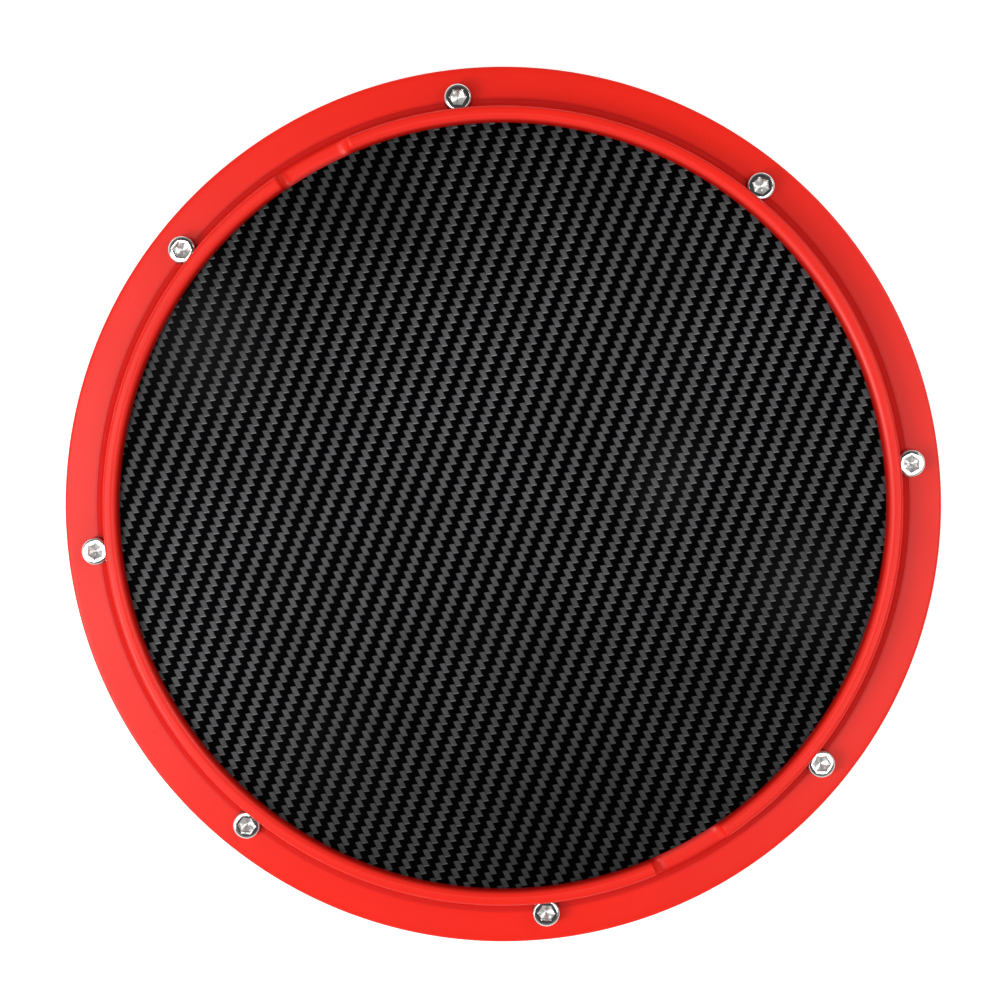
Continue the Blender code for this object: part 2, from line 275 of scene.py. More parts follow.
# hoop
hoopLook = {
    "lipWidth": 0.0060,
    "lipHeight": 0.0100,
    "lipLap": 0.0013,  # over the skin's edge
    "lipInnerRound": 0.0033,
    "lipOuterRound": 0.0014,
    "edgeRound": 0.0010,
    "footWidth": 0.0034,
    "footHeight": 0.0046,
    "footHollow": 0.0003,
    "seatGap": 0.0003,
    "gateFloor": 0.0010,  # above the skin
    "gateHalfLength": 0.0101,
    "gateFillet": 0.0045,
    "gateRound": 0.0008,
    "gateSlopeDeg": 62.0,
    "coarseStepDeg": 0.5,
    "fineStepDeg": 0.08,
    "gateMarginDeg": 0.4,  # how far the fine steps run past a gate
    "pocketRadius": 0.0053,
    "holeRadius": 0.0033,
    "spotFace": 0.0003,
    "color": (0.862, 0.0160, 0.0058),
    "deepColor": (0.82, 0.0140, 0.0050),
    "deepEdge": (0.35, 0.7),  # of the patches, where the colour starts and ends changing
    "cornerShadeColor": (0.665, 0.0060, 0.0022),  # painted shade in the corner outside the lip
    "cornerShadeEdge": (0.45, 0.85),  # of the foot's width, from its middle
    "innerShadeColor": (0.40, 0.0046, 0.0020),  # painted shade down the lip's inner edge
    "innerShade": 0.0019,
    "innerFull": 0.15,  # of innerShade
    "dustColor": (0.75, 0.30, 0.26),
    "dustShare": 0.45,
    "grain": {"Size": 0.0006, "Drift": 0.045},
    "marks": {"Spacing": 0.014, "Amount": 0.5},
    "roughness": 0.26,
    "roughSpread": 0.10,
    "rubPolish": -0.10,
    "rubDepth": -0.6,  # to the grain's height
    "bumpStrength": 0.35,
    "bumpDepth": 0.00006,
}
openingRadius = skinHigh.x - hoopLook["lipLap"]
lipRadius = openingRadius + hoopLook["lipWidth"]
flangeTop = hoopHigh.z - hoopLook["lipHeight"]
lipUnderside = skinHigh.z + hoopLook["seatGap"]
cutOverrun = 0.001  # how far a cutter runs past what it cuts


def hoopSection():  # closed loop: over the lip, down to the flange, round the edge, back underneath
    look = hoopLook
    top, low = hoopHigh.z, hoopLow.z
    inner, outer, edge = look["lipInnerRound"], look["lipOuterRound"], look["edgeRound"]
    footTop = (lipRadius, flangeTop + look["footHeight"])
    footEnd = (lipRadius + look["footWidth"], flangeTop)
    foot = []
    for t in np.linspace(0.0, 1.0, 11):
        sag = look["footHollow"] * 4 * t * (1 - t)
        foot.append((
            footTop[0] + (footEnd[0] - footTop[0]) * t - sag,
            footTop[1] + (footEnd[1] - footTop[1]) * t - sag,
        ))
    rimR = hoopHigh.x - edge
    lipInner = arcPoints(openingRadius + inner, top - inner, inner, 180, 90, segments=10)
    lipOuter = arcPoints(lipRadius - outer, top - outer, outer, 90, 0, segments=8)
    rimTop = arcPoints(rimR, flangeTop - edge, edge, 90, 0, segments=6)
    rimBottom = arcPoints(rimR, low + edge, edge, 0, -90, segments=5)
    rebateR = skinHigh.x + look["seatGap"]
    section = lipInner + linePoints(lipInner[-1], lipOuter[0], segments=3) + lipOuter
    section += linePoints(lipOuter[-1], footTop, segments=5) + foot
    section += linePoints(footEnd, rimTop[0], segments=6) + rimTop + rimBottom
    section += linePoints(rimBottom[-1], (rebateR, low), segments=4)
    section += [(rebateR, low), (rebateR, lipUnderside), (openingRadius, lipUnderside)]
    section += linePoints((openingRadius, lipUnderside), lipInner[0], segments=4)
    return np.array(section)


def gateRise():  # outline of a gate's end as (distance past the floor, height over the floor)
    look = hoopLook
    slope = math.radians(look["gateSlopeDeg"])
    total = hoopHigh.z - skinHigh.z - look["gateFloor"]
    fillet, rounding = look["gateFillet"], look["gateRound"]
    outline = arcPoints(0.0, fillet, fillet, -90, look["gateSlopeDeg"] - 90, segments=10)
    low = outline[-1]
    straight = total - low[1] - rounding * (1 - math.cos(slope))
    high = (low[0] + straight / math.tan(slope), low[1] + straight)
    center = (high[0] + rounding * math.sin(slope), total - rounding)
    top = arcPoints(*center, rounding, 90 + look["gateSlopeDeg"], 90, segments=8)
    return outline + linePoints(low, high, segments=4) + top


gateOutline = np.array(gateRise())


def gateKeep(angle):  # share of the lip's height that is left, 1 away from the gates
    look = hoopLook
    middle = (openingRadius + lipRadius) / 2
    fromGate = abs((angle + math.pi) % math.pi - math.pi / 2) * middle - look["gateHalfLength"]
    height = np.interp(fromGate, gateOutline[:, 0], gateOutline[:, 1])
    return (skinHigh.z + look["gateFloor"] + height - lipUnderside) / (hoopHigh.z - lipUnderside)


def hoopAngles():
    look = hoopLook
    reach = (look["gateHalfLength"] + gateOutline[-1, 0]) / openingRadius
    reach += math.radians(look["gateMarginDeg"])
    angles = []
    angle = 0.0
    while angle < math.tau - 1e-6:
        angles.append(angle)
        near = abs((angle + math.pi) % math.pi - math.pi / 2) < reach
        angle += math.radians(look["fineStepDeg"] if near else look["coarseStepDeg"])
    return angles


def cutterAt(name, places, radius, low, high):
    shape = bmesh.new()
    sizes = {"segments": 64, "radius1": radius, "radius2": radius, "depth": high - low}
    for x, y in places:
        middle = Matrix.Translation((x, y, (low + high) / 2))
        bmesh.ops.create_cone(shape, cap_ends=True, matrix=middle, **sizes)
    mesh = bpy.data.meshes.new(name)
    shape.to_mesh(mesh)
    shape.free()
    cutter = bpy.data.objects.new(name, mesh)
    bpy.context.scene.collection.objects.link(cutter)
    return cutter


def cutFrom(solid, cutters, sharpDeg):  # the cut mesh, with the solid and its cutters gone
    for cutter in cutters:
        cut = solid.modifiers.new("cut", "BOOLEAN")
        cut.operation = "DIFFERENCE"
        cut.solver = "EXACT"
        cut.object = cutter
    bpy.context.view_layer.update()
    drawn = solid.evaluated_get(bpy.context.evaluated_depsgraph_get())
    mesh = bpy.data.meshes.new_from_object(drawn)
    for used in [solid, *cutters]:
        bpy.data.objects.remove(used, do_unlink=True)
    return finishMesh(mesh, sharpDeg)


def screwCenter(name):
    low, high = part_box(name)
    return (low.x + high.x) / 2, (low.y + high.y) / 2


def hoopMesh():
    section = hoopSection()
    angles = hoopAngles()
    points = np.empty((len(angles), len(section), 3))
    for row, angle in enumerate(angles):
        height = section[:, 1].copy()
        above = height > lipUnderside
        keep = gateKeep(angle)
        height[above] = lipUnderside + (height[above] - lipUnderside) * keep
        points[row, :, 0] = section[:, 0] * math.cos(angle)
        points[row, :, 1] = section[:, 0] * math.sin(angle)
        points[row, :, 2] = height
    solid = bpy.data.objects.new("hoopSolid", gridMesh("hoopSolid", points, wrapRows=True, wrapColumns=True))
    bpy.context.scene.collection.objects.link(solid)
    places = [screwCenter(name) for name in screwNames]
    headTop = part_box(screwNames[0])[1].z
    spot = flangeTop - hoopLook["spotFace"]
    pocketTop = headTop + hoopLook["seatGap"]
    cutters = [
        cutterAt("pockets", places, hoopLook["pocketRadius"], spot, pocketTop),
        cutterAt("holes", places, hoopLook["holeRadius"], hoopLow.z - cutOverrun, spot + cutOverrun),
    ]
    return cutFrom(solid, cutters, sharpDeg=32)


def hoopMaterial():
    look = hoopLook
    material, tree, shader, place = newMaterial("redMoulding", Roughness=0.34, Specular_IOR_Level=0.28)
    grain = placeGroup(tree, fineGrain, {"Place": place, **look["grain"]})
    marks = placeGroup(tree, handling, {"Place": place, **look["marks"]})
    deep = smoothStep(tree, grain["Patch"], *look["deepEdge"])
    body = mixColor(tree, deep, shade(look["color"]), shade(look["deepColor"]))
    flatInputs = {0: place, 1: (1.0, 1.0, 0.0)}
    flat = addNode(tree, "ShaderNodeVectorMath", flatInputs, operation="MULTIPLY").outputs[0]
    radius = addNode(tree, "ShaderNodeVectorMath", {0: flat}, operation="LENGTH").outputs["Value"]
    # painted shade: the colour deepens in the corner between the lip and the flange
    fromCorner = calc(tree, "ABSOLUTE", minus(tree, radius, lipRadius + look["footWidth"] / 2))
    full, gone = [share * look["footWidth"] for share in look["cornerShadeEdge"]]
    cornerShade = minus(tree, 1.0, smoothStep(tree, fromCorner, full, gone))
    body = mixColor(tree, cornerShade, body, shade(look["cornerShadeColor"]))
    # painted shade: the colour darkens down the lip's inner edge
    fromEdge = minus(tree, radius, openingRadius)
    full, gone = look["innerShade"] * look["innerFull"], look["innerShade"]
    inner = minus(tree, 1.0, smoothStep(tree, fromEdge, full, gone))
    body = mixColor(tree, inner, body, shade(look["innerShadeColor"]))
    dust = times(tree, marks["Specks"], look["dustShare"])
    tree.links.new(mixColor(tree, dust, body, shade(look["dustColor"])), shader.inputs["Base Color"])
    rough = scatter(tree, grain["Patch"], look["roughness"], look["roughSpread"])
    rough = scatter(tree, marks["Rubs"], rough, look["rubPolish"])
    tree.links.new(rough, shader.inputs["Roughness"])
    height = scatter(tree, marks["Rubs"], grain["Grain"], look["rubDepth"])
    addBump(tree, shader, height, look["bumpStrength"], look["bumpDepth"])
    return material


hoop = addPiece("hoop_moulding", hoopMesh(), hoopMaterial(), padBody, ["hoop"])
print("hoop made:", len(hoop.data.polygons), "faces")


# playing skin
skinLook = {
    "towWidth": 0.002156,
    "turnDeg": -4.2,  # of the tows from the pad's X axis
    "skew": 0.26,  # lean of a float's ends, in tows
    "relief": 0.00005,
    "seamRise": 0.9,  # of the relief, between two cells of one float
    "wave": 0.00010,
    "waveSpan": 0.055,
    "calmRim": 0.012,  # where the waves die out towards the edge
    "lightTow": (0.0475, 0.0460, 0.0480),
    "darkTow": (0.0006, 0.0006, 0.0007),
    "shine": 1.0,  # of the light tow's fibres
    "endEdge": (0.04, 0.24),  # where a float dips at its ends, in tows
    "seamWidth": 0.13,
    "seamDepth": 0.8,
    "glintAt": 0.23,  # painted highlight: a bright line near a float's end, in tows
    "glintReach": 0.14,
    "glintLight": 1.7,
    "glintEdge": (0.36, 0.62),  # patches where the painted highlight shows
    "fibres": 9.0,  # across a tow
    "tone": (0.86, 0.22),  # least, and how much it differs from float to float
    "fibreTone": (0.65, 0.70),
    "patchTone": (0.86, 0.28),
    "patches": {"Size": 0.004, "Drift": 0.06},
    "coat": 0.004,
    "gloss": 0.060,  # of the clear coat where sticks and hands have polished it
    "patchGloss": 0.5,  # what a polished place keeps where the patches are dull
    "polished": (  # x, y, reach and strength of each polished place
        (0.0984, 0.0521, 0.030, 1.3),
        (0.0833, 0.0222, 0.030, 1.0),
        (0.0681, -0.0034, 0.028, 0.9),
        (0.0542, -0.0170, 0.026, 1.1),
        (0.0835, -0.0796, 0.034, 0.50),
        (-0.1003, -0.0595, 0.040, 1.6),
        (-0.0642, 0.1072, 0.040, 0.65),
        (-0.0282, -0.0438, 0.026, 0.7),
    ),
    "roughness": (0.44, 0.12),  # least, and what the fibres add
    "fibreHeight": 0.15,
    "bumpStrength": 0.5,
    "bumpDepth": 0.00004,
}


def skinMesh():
    look = skinLook
    radius = skinHigh.x
    half = look["towWidth"] / 2
    reach = math.ceil(radius / half) + 2
    index = np.arange(-reach, reach + 1)
    columnIndex, rowIndex = np.meshgrid(index, index, indexing="ij")
    cellX, cellY = columnIndex // 2, rowIndex // 2
    lean = np.mod(cellX - cellY, 4)
    oddX, oddY = np.mod(columnIndex, 2) == 1, np.mod(rowIndex, 2) == 1
    raised = (oddX & oddY).astype(float)
    # an edge between two cells of one float stays up: lean 1 then 0 along Y, lean 2 then 3 along X
    raised[oddX & ~oddY & (lean == 0)] = look["seamRise"]
    raised[~oddX & oddY & (lean == 3)] = look["seamRise"]
    x, y = columnIndex * half, rowIndex * half
    turn = math.radians(look["turnDeg"])
    worldX = x * math.cos(turn) - y * math.sin(turn)
    worldY = x * math.sin(turn) + y * math.cos(turn)
    distance = np.hypot(worldX, worldY)
    outside = distance > radius
    shrink = np.where(outside, radius / np.maximum(distance, 1e-9), 1.0)
    worldX, worldY = worldX * shrink, worldY * shrink
    calm = np.clip((radius - distance) / look["calmRim"], 0.0, 1.0)
    swell = np.empty_like(worldX)
    for key in np.ndindex(swell.shape):
        spot = Vector((worldX[key], worldY[key], 0.0)) / look["waveSpan"]
        swell[key] = noise.noise(spot)
    top = skinHigh.z - look["relief"]
    height = top + raised * look["relief"] * (1.0 - outside) + swell * look["wave"] * calm
    size = len(index)
    faces = []
    for i in range(size - 1):
        for j in range(size - 1):
            if outside[i, j] and outside[i + 1, j] and outside[i, j + 1] and outside[i + 1, j + 1]:
                continue
            here = i * size + j
            faces.append((here, here + size, here + size + 1, here + 1))
    points = np.stack([worldX, worldY, height], axis=-1).reshape(-1, 3)
    mesh = bpy.data.meshes.new("playing_skin_weave")
    mesh.from_pydata(points.tolist(), [], faces)
    shape = bmesh.new()
    shape.from_mesh(mesh)
    bmesh.ops.delete(shape, geom=[v for v in shape.verts if not v.link_faces], context="VERTS")
    bmesh.ops.remove_doubles(shape, verts=shape.verts, dist=1e-6)
    bmesh.ops.dissolve_degenerate(shape, edges=shape.edges, dist=1e-6)
    rim = [edge for edge in shape.edges if edge.is_boundary]
    extruded = bmesh.ops.extrude_edge_only(shape, edges=rim)["geom"]
    for vert in [item for item in extruded if isinstance(item, bmesh.types.BMVert)]:
        vert.co.z = skinLow.z
    lowRim = [edge for edge in shape.edges if edge.is_boundary]
    bmesh.ops.contextual_create(shape, geom=lowRim)
    shape.to_mesh(mesh)
    shape.free()
    return finishMesh(mesh, sharpDeg=50)


def makeTwill():  # two-over-two weave: each float spans two tows, one tow further along in each column
    look = skinLook
    inputs = {"Place": None, "Tow": 0.002, "Turn": 0.0, "Skew": 0.25}
    tree, given, result = newGroup("twill", inputs, ("Warp", "Shape", "Tone", "Fibre", "Glint"))
    apart = addNode(tree, "ShaderNodeSeparateXYZ", {"Vector": given["Place"]}).outputs
    cosine = calc(tree, "COSINE", given["Turn"])
    sine = calc(tree, "SINE", given["Turn"])
    along = plus(tree, times(tree, apart["X"], cosine), times(tree, apart["Y"], sine))
    across = minus(tree, times(tree, apart["Y"], cosine), times(tree, apart["X"], sine))
    u = calc(tree, "DIVIDE", along, given["Tow"])
    v = calc(tree, "DIVIDE", across, given["Tow"])
    cellU, cellV = calc(tree, "FLOOR", u), calc(tree, "FLOOR", v)
    partU, partV = minus(tree, u, cellU), minus(tree, v, cellV)
    lean = calc(tree, "FLOORED_MODULO", minus(tree, cellU, cellV), 4.0)
    warp = calc(tree, "LESS_THAN", lean, 1.5)
    weft = minus(tree, 1.0, warp)

    def pick(overWarp, overWeft):
        return plus(tree, times(tree, overWarp, warp), times(tree, overWeft, weft))

    runWarp = plus(tree, minus(tree, 1.0, lean), partV)  # 0 to 2 along a warp float
    runWeft = plus(tree, minus(tree, lean, 2.0), partU)
    offMiddle = minus(tree, pick(partU, partV), 0.5)
    run = scatter(tree, offMiddle, pick(runWarp, runWeft), given["Skew"])  # ends lie askew
    toEnd = calc(tree, "MINIMUM", run, minus(tree, 2.0, run))
    ends = smoothStep(tree, toEnd, *look["endEdge"])
    toSide = minus(tree, 0.5, calc(tree, "ABSOLUTE", offMiddle))
    seam = minus(tree, 1.0, smoothStep(tree, toSide, 0.0, look["seamWidth"]))
    # the form is the float's height for the bump, and also darkens the colour as painted shade
    form = times(tree, ends, scatter(tree, seam, 1.0, -look["seamDepth"]))
    startWarp = plus(tree, cellV, minus(tree, lean, 1.0))
    startWeft = minus(tree, cellU, minus(tree, lean, 2.0))
    nameInputs = {"X": pick(cellU, startWeft), "Y": pick(startWarp, cellV), "Z": warp}
    name = addNode(tree, "ShaderNodeCombineXYZ", nameInputs).outputs[0]
    tone = addNode(tree, "ShaderNodeTexWhiteNoise", {"Vector": name}, noise_dimensions="3D").outputs["Value"]
    stretchInputs = {"X": times(tree, pick(u, v), look["fibres"]), "Y": pick(v, u), "Z": warp}
    stretched = addNode(tree, "ShaderNodeCombineXYZ", stretchInputs).outputs[0]
    fibreInputs = {"Vector": stretched, "Scale": 1.0, "Detail": 2.0}
    fibre = addNode(tree, "ShaderNodeTexNoise", fibreInputs).outputs[0]
    # painted highlight: a bright line across each float near its end
    fromGlint = calc(tree, "ABSOLUTE", minus(tree, run, look["glintAt"]))
    glint = minus(tree, 1.0, smoothStep(tree, fromGlint, 0.0, look["glintReach"]))
    for label, value in (("Warp", warp), ("Shape", form), ("Tone", tone), ("Fibre", fibre), ("Glint", glint)):
        tree.links.new(value, result[label])
    return tree


def polishedMask(tree, place):
    mask = 0.0
    for x, y, reach, strength in skinLook["polished"]:
        inputs = {0: place, 1: (x, y, skinHigh.z)}
        distance = addNode(tree, "ShaderNodeVectorMath", inputs, operation="DISTANCE").outputs["Value"]
        spot = minus(tree, 1.0, smoothStep(tree, distance, 0.0, reach))
        mask = scatter(tree, spot, mask, strength)
    return mask


def skinMaterial():
    look = skinLook
    material, tree, shader, place = newMaterial(
        "wovenLaminate", Roughness=0.5, Specular_IOR_Level=0.006, Coat_Weight=0.006, Coat_Roughness=0.15,
        Anisotropic=0.97,
    )
    turn = math.radians(look["turnDeg"])
    twillInputs = {"Place": place, "Tow": look["towWidth"], "Turn": turn, "Skew": look["skew"]}
    weave = placeGroup(tree, makeTwill(), twillInputs)
    patch = placeGroup(tree, fineGrain, {"Place": place, **look["patches"]})["Patch"]
    tow = mixColor(tree, weave["Warp"], shade(look["darkTow"]), shade(look["lightTow"]))
    # painted shade: the colour darkens where a float dips at its ends and rounds off at its sides
    level = times(tree, scatter(tree, weave["Tone"], *look["tone"]), weave["Shape"])
    level = times(tree, level, scatter(tree, weave["Fibre"], *look["fibreTone"]))
    # painted highlight: the bright line near a float's end lightens the colour where the patches allow
    catching = times(tree, smoothStep(tree, patch, *look["glintEdge"]), look["glintLight"])
    level = scatter(tree, weave["Glint"], level, catching)
    level = times(tree, level, scatter(tree, patch, *look["patchTone"]))
    glossy = times(tree, polishedMask(tree, place), plus(tree, look["patchGloss"], patch))
    tree.links.new(scatter(tree, glossy, look["coat"], look["gloss"]), shader.inputs["Coat Weight"])
    grey = addNode(tree, "ShaderNodeCombineColor", {0: level, 1: level, 2: level}).outputs[0]
    tree.links.new(mixColor(tree, 1.0, tow, grey, "MULTIPLY"), shader.inputs["Base Color"])
    acrossInputs = {"X": math.cos(turn), "Y": math.sin(turn)}  # light tows run along Y
    across = addNode(tree, "ShaderNodeCombineXYZ", acrossInputs)
    tree.links.new(across.outputs[0], shader.inputs["Tangent"])
    tree.links.new(times(tree, weave["Warp"], look["shine"]), shader.inputs["Metallic"])
    tree.links.new(scatter(tree, weave["Fibre"], *look["roughness"]), shader.inputs["Roughness"])
    height = scatter(tree, weave["Fibre"], weave["Shape"], look["fibreHeight"])
    addBump(tree, shader, height, look["bumpStrength"], look["bumpDepth"])
    return material


skin = addPiece("woven_skin", skinMesh(), skinMaterial(), padBody, ["playing_skin"])
print("playing skin made:", len(skin.data.polygons), "faces")


# rubber and foam layers, board and mat
layerLook = {
    "steps": 240,
    "middle": 0.025,  # share of the radius that the flat cap in the centre takes
    "rubberRound": 0.0004,
    "rubberColor": (0.055, 0.042, 0.032),
    "rubberFleck": (0.16, 0.12, 0.085),
    "fleckEdge": (0.58, 0.66),
    "rubberGrain": {"Size": 0.0012, "Drift": 0.02},
    "rubberRoughness": (0.62, 0.2),  # least, and what the patches add
    "rubberBump": (0.4, 0.0001),  # strength and depth
    "foamRound": 0.0005,
    "foamColor": (0.028, 0.028, 0.030),
    "foamWall": (0.070, 0.070, 0.074),
    "wallEdge": (0.15, 0.6),
    "cellsPerMetre": 1600.0,
    "foamBump": (0.6, 0.0003),
}
boardLook = {
    "steps": 360,
    "plies": 13,
    "edgeRound": 0.0015,
    "glueGroove": 0.00006,
    "glueShare": 0.10,  # of a ply, on each side of its glue line
    "faceColor": (0.66, 0.47, 0.28),
    "faceDark": (0.50, 0.33, 0.17),
    "faceGrain": (9.0, 150.0, 9.0),
    "faceEdge": (0.35, 0.7),
    "longPly": (0.60, 0.42, 0.24),
    "endPly": (0.36, 0.22, 0.11),
    "streakColor": (0.74, 0.66, 0.56),
    "streakEdge": (0.40, 0.75),
    "streakScale": 0.35,
    "streakAround": 90.0,
    "streakUp": 5200.0,
    "glueColor": (0.16, 0.085, 0.035),
    "glueEdge": (0.03, 0.12),
    "poreScale": 2400.0,
    "flatEdge": (0.7, 0.9),  # from edge grain to face grain, by how far a face looks up or down
    "roughness": (0.36, 0.22),
    "glueDepth": -0.5,
    "bumpStrength": 0.35,
    "bumpDepth": 0.0001,
}
matLook = {
    "steps": 240,
    "middle": 0.004,
    "edgeRound": 0.0006,
    "edgeLand": 0.0045,  # from the edge to the first groove
    "centreLand": 0.010,
    "ribPitch": 0.0040,
    "ribDepth": 0.0007,
    "ribGroove": 0.0015,
    "ribProfile": (  # shares of a groove's half width and of its depth
        (1.0, 0.0), (0.72, 0.8), (0.35, 1.0), (-0.35, 1.0), (-0.72, 0.8), (-1.0, 0.0),
    ),
    "color": (0.020, 0.020, 0.021),
    "worn": (0.060, 0.060, 0.062),
    "wornShare": 0.35,
    "wornEdge": (0.45, 0.75),
    "dustColor": (0.22, 0.21, 0.19),
    "dustShare": 0.6,
    "grain": {"Size": 0.0007, "Drift": 0.03},
    "marks": {"Spacing": 0.018, "Amount": 0.8},
    "roughness": (0.68, 0.2),
    "bumpStrength": 0.5,
    "bumpDepth": 0.00012,
}


def discTop(start, radius, high, edge, segments):  # from the top's centre and round its edge
    section = [(start, high)] + linePoints((start, high), (radius - edge, high), segments)
    return section + arcPoints(radius - edge, high - edge, edge, 90, 0, segments=5)


def discBottom(start, radius, low, edge, segments):
    section = arcPoints(radius - edge, low + edge, edge, 0, -90, segments=5)
    return section + linePoints((radius - edge, low), (start, low), segments) + [(start, low)]


def discSection(radius, low, high, edge):
    start = radius * layerLook["middle"]
    return discTop(start, radius, high, edge, 12) + discBottom(start, radius, low, edge, 12)


def boardSection():
    look = boardLook
    radius, low, high, edge = boardHigh.x, boardLow.z, boardHigh.z, look["edgeRound"]
    ply = (high - low) / look["plies"]
    start = radius * layerLook["middle"]
    section = discTop(start, radius, high, edge, 10)
    for number in range(look["plies"] - 1, 0, -1):
        line = low + number * ply
        if low + edge + ply / 4 < line < high - edge - ply / 4:
            section += [
                (radius, line + ply * look["glueShare"]),
                (radius - look["glueGroove"], line),
                (radius, line - ply * look["glueShare"]),
            ]
    return section + discBottom(start, radius, low, edge, 10)


def matSection():  # smooth on top, ribbed in rings underneath
    look = matLook
    radius, low, high, edge = matHigh.x, matLow.z, matHigh.z, look["edgeRound"]
    middle = look["middle"]
    section = [(middle, high)] + linePoints((middle, high), (radius - edge, high), segments=10)
    section += arcPoints(radius - edge, high - edge, edge, 90, 0, segments=4)
    section += arcPoints(radius - edge, low + edge, edge, 0, -90, segments=4)
    groove = radius - look["edgeLand"]
    while groove > look["centreLand"]:
        for out, deep in look["ribProfile"]:
            section.append((groove + look["ribGroove"] / 2 * out, low + look["ribDepth"] * deep))
        groove -= look["ribPitch"]
    return section + [(middle, low)]


def rubberMaterial():
    look = layerLook
    material, tree, shader, place = newMaterial("gumRubber", Roughness=0.72)
    grain = placeGroup(tree, fineGrain, {"Place": place, **look["rubberGrain"]})
    fleck = smoothStep(tree, grain["Grain"], *look["fleckEdge"])
    color = mixColor(tree, fleck, shade(look["rubberColor"]), shade(look["rubberFleck"]))
    tree.links.new(color, shader.inputs["Base Color"])
    tree.links.new(scatter(tree, grain["Patch"], *look["rubberRoughness"]), shader.inputs["Roughness"])
    addBump(tree, shader, grain["Grain"], *look["rubberBump"])
    return material


def foamMaterial():
    look = layerLook
    material, tree, shader, place = newMaterial("closedCellFoam", Roughness=0.92)
    cellInputs = {"Vector": place, "Scale": look["cellsPerMetre"]}
    cells = addNode(tree, "ShaderNodeTexVoronoi", cellInputs, feature="SMOOTH_F1")
    wall = smoothStep(tree, cells.outputs["Distance"], *look["wallEdge"])
    color = mixColor(tree, wall, shade(look["foamColor"]), shade(look["foamWall"]))
    tree.links.new(color, shader.inputs["Base Color"])
    addBump(tree, shader, wall, *look["foamBump"])
    return material


def boardMaterial():
    look = boardLook
    material, tree, shader, place = newMaterial(
        "birchPly", Roughness=0.45, Coat_Weight=0.25, Coat_Roughness=0.25
    )
    apart = addNode(tree, "ShaderNodeSeparateXYZ", {"Vector": place}).outputs
    plyHeight = (boardHigh.z - boardLow.z) / look["plies"]
    level = calc(tree, "DIVIDE", minus(tree, apart["Z"], boardLow.z), plyHeight)
    part = calc(tree, "FRACT", level)
    odd = calc(tree, "FLOORED_MODULO", calc(tree, "FLOOR", level), 2.0)
    toLine = calc(tree, "MINIMUM", part, minus(tree, 1.0, part))
    glue = minus(tree, 1.0, smoothStep(tree, toLine, *look["glueEdge"]))
    angle = calc(tree, "ARCTAN2", apart["Y"], apart["X"])
    # a ply shows long grain where its fibres lie along the edge and end grain where they meet it
    facing = calc(tree, "ABSOLUTE", calc(tree, "COSINE", angle))
    facing = calc(tree, "ABSOLUTE", minus(tree, odd, facing))
    roundInputs = {
        "X": times(tree, angle, look["streakAround"]),
        "Y": times(tree, apart["Z"], look["streakUp"]),
        "Z": odd,
    }
    roundPlace = addNode(tree, "ShaderNodeCombineXYZ", roundInputs).outputs[0]
    streakInputs = {"Vector": roundPlace, "Scale": look["streakScale"], "Detail": 4.0}
    streaks = addNode(tree, "ShaderNodeTexNoise", streakInputs).outputs[0]
    poreInputs = {"Vector": place, "Scale": look["poreScale"], "Detail": 2.0}
    pores = addNode(tree, "ShaderNodeTexNoise", poreInputs).outputs[0]
    edge = mixColor(tree, facing, shade(look["endPly"]), shade(look["longPly"]))
    streak = smoothStep(tree, streaks, *look["streakEdge"])
    dark = mixColor(tree, streak, shade((1.0, 1.0, 1.0)), shade(look["streakColor"]))
    edge = mixColor(tree, 1.0, edge, dark, "MULTIPLY")
    edge = mixColor(tree, glue, edge, shade(look["glueColor"]))
    mapping = addNode(tree, "ShaderNodeMapping", {"Vector": place, "Scale": look["faceGrain"]}).outputs[0]
    faceInputs = {"Vector": mapping, "Scale": 1.0, "Detail": 5.0, "Distortion": 0.6}
    faceGrain = addNode(tree, "ShaderNodeTexNoise", faceInputs).outputs[0]
    faceMask = smoothStep(tree, faceGrain, *look["faceEdge"])
    face = mixColor(tree, faceMask, shade(look["faceColor"]), shade(look["faceDark"]))
    normal = addNode(tree, "ShaderNodeNewGeometry").outputs["Normal"]
    upright = addNode(tree, "ShaderNodeSeparateXYZ", {"Vector": normal}).outputs["Z"]
    flat = smoothStep(tree, calc(tree, "ABSOLUTE", upright), *look["flatEdge"])
    tree.links.new(mixColor(tree, flat, edge, face), shader.inputs["Base Color"])
    tree.links.new(scatter(tree, pores, *look["roughness"]), shader.inputs["Roughness"])
    height = scatter(tree, glue, pores, look["glueDepth"])
    addBump(tree, shader, height, look["bumpStrength"], look["bumpDepth"])
    return material


def matMaterial():
    look = matLook
    material, tree, shader, place = newMaterial("matRubber", Roughness=0.8)
    grain = placeGroup(tree, fineGrain, {"Place": place, **look["grain"]})
    marks = placeGroup(tree, handling, {"Place": place, **look["marks"]})
    worn = times(tree, smoothStep(tree, grain["Patch"], *look["wornEdge"]), look["wornShare"])
    color = mixColor(tree, worn, shade(look["color"]), shade(look["worn"]))
    dust = times(tree, marks["Specks"], look["dustShare"])
    tree.links.new(mixColor(tree, dust, color, shade(look["dustColor"])), shader.inputs["Base Color"])
    tree.links.new(scatter(tree, grain["Patch"], *look["roughness"]), shader.inputs["Roughness"])
    addBump(tree, shader, grain["Grain"], look["bumpStrength"], look["bumpDepth"])
    return material


rubberSection = discSection(rubberHigh.x, rubberLow.z, rubberHigh.z, layerLook["rubberRound"])
addPiece(
    "gum_rubber_disc", turnedMesh("gum_rubber_disc", rubberSection, layerLook["steps"]),
    rubberMaterial(), padBody, ["rubber_layer"],
)
foamSection = discSection(foamHigh.x, foamLow.z, foamHigh.z, layerLook["foamRound"])
foam = addPiece(
    "foam_disc", turnedMesh("foam_disc", foamSection, layerLook["steps"]),
    foamMaterial(), padBody, ["foam_layer"],
)


